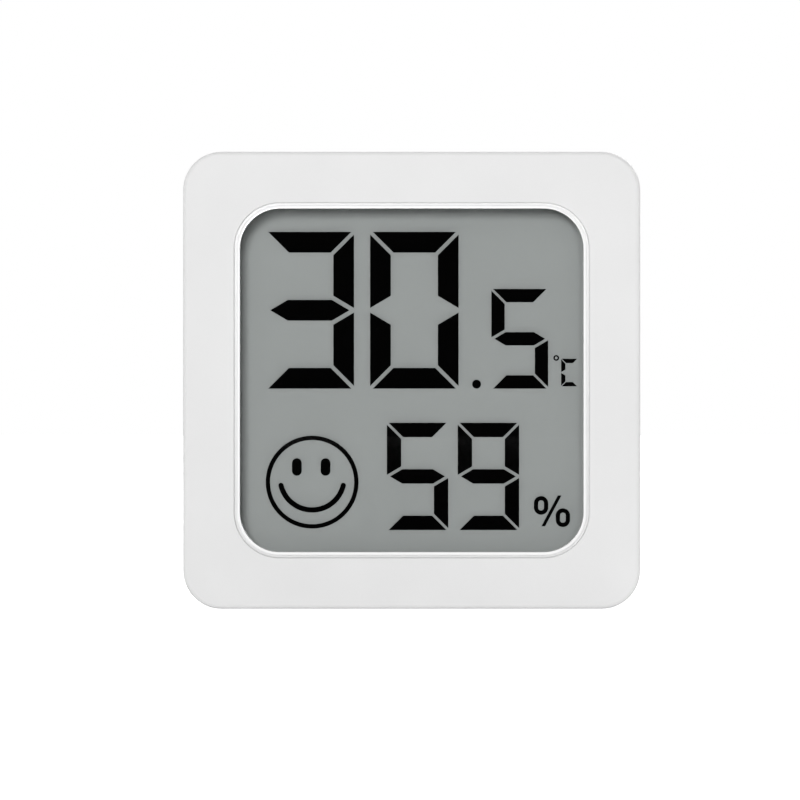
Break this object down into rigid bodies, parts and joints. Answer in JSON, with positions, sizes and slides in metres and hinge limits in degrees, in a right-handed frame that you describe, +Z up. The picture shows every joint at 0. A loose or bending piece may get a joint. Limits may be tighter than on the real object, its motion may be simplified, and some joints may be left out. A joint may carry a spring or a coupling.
{
  "type": "temperature humidity sensor",
  "caption": "Square indoor thermometer and hygrometer with rounded corners, a rimmed segment display, a fold-out stand, a keyhole and a twist-off battery door.",
  "frame": {"origin": "middle of the surface that the case stands on", "axes": "+X to the right seen from the front, +Y from the display to the rear, +Z up"},
  "size_m": [0.044, 0.014, 0.044],
  "materials": {
    "case_plastic": "fine satin texture",
    "rim_plastic": "polished",
    "tape": "double-sided film",
    "lens_plastic": "polished",
    "polariser": "satin",
    "display_glass": "polished",
    "seal_resin": "cured resin",
    "segment_ink": "dark liquid crystal",
    "reflector": "fine grain",
    "elastomer": "layered",
    "frame_plastic": "moulded",
    "board_laminate": "solder mask",
    "potting_resin": "cured dome",
    "chip_black": "fired",
    "chip_tan": "fired",
    "sensor_plate": "coated plate",
    "bead_resin": "dipped",
    "switch_body": "stamped cover",
    "switch_plunger": "moulded",
    "spring_steel": "plated",
    "cell_steel": "plated",
    "screw_steel": "zinc plated"
  },
  "bodies": {
    "case": {"front_case": "case_plastic", "bezel_ring": "rim_plastic", "lens_tape": "tape", "window_lens": "lens_plastic", "front_polariser": "polariser", "front_glass": "display_glass", "glass_seal": "seal_resin", "temperature_segments": "segment_ink", "humidity_segments": "segment_ink", "comfort_face_segments": "segment_ink", "rear_glass": "display_glass", "reflector_film": "reflector", "contact_strip": "elastomer", "display_frame": "frame_plastic", "main_board": "board_laminate", "controller_glob": "potting_resin", "chip_resistors": "chip_black", "chip_capacitors": "chip_tan", "humidity_sensor": "sensor_plate", "thermistor": "bead_resin", "unit_switch": "switch_body", "negative_contact": "spring_steel", "positive_contact": "spring_steel", "coin_cell": "cell_steel", "rear_case": "case_plastic", "case_screws": "screw_steel"},
    "battery_door": {"battery_door": "case_plastic"},
    "stand": {"stand": "case_plastic"},
    "unit_button": {"unit_button": "case_plastic", "switch_plunger": "switch_plunger"}
  },
  "joints": [
    {"name": "stand_hinge", "type": "hinge", "parent": "case", "child": "stand", "pos_m": [0, 0.0058, 0.0295], "axis": [1, 0, 0], "range_deg": [0, 40]},
    {"name": "battery_door_turn", "type": "hinge", "parent": "case", "child": "battery_door", "pos_m": [0, 0.006, 0.021], "axis": [0, 1, 0], "range_deg": [0, 45]},
    {"name": "unit_button_press", "type": "slide", "parent": "case", "child": "unit_button", "axis": [0, -1, 0], "range_m": [0, 0.00025], "stiffness_N_per_m": 400}
  ]
}
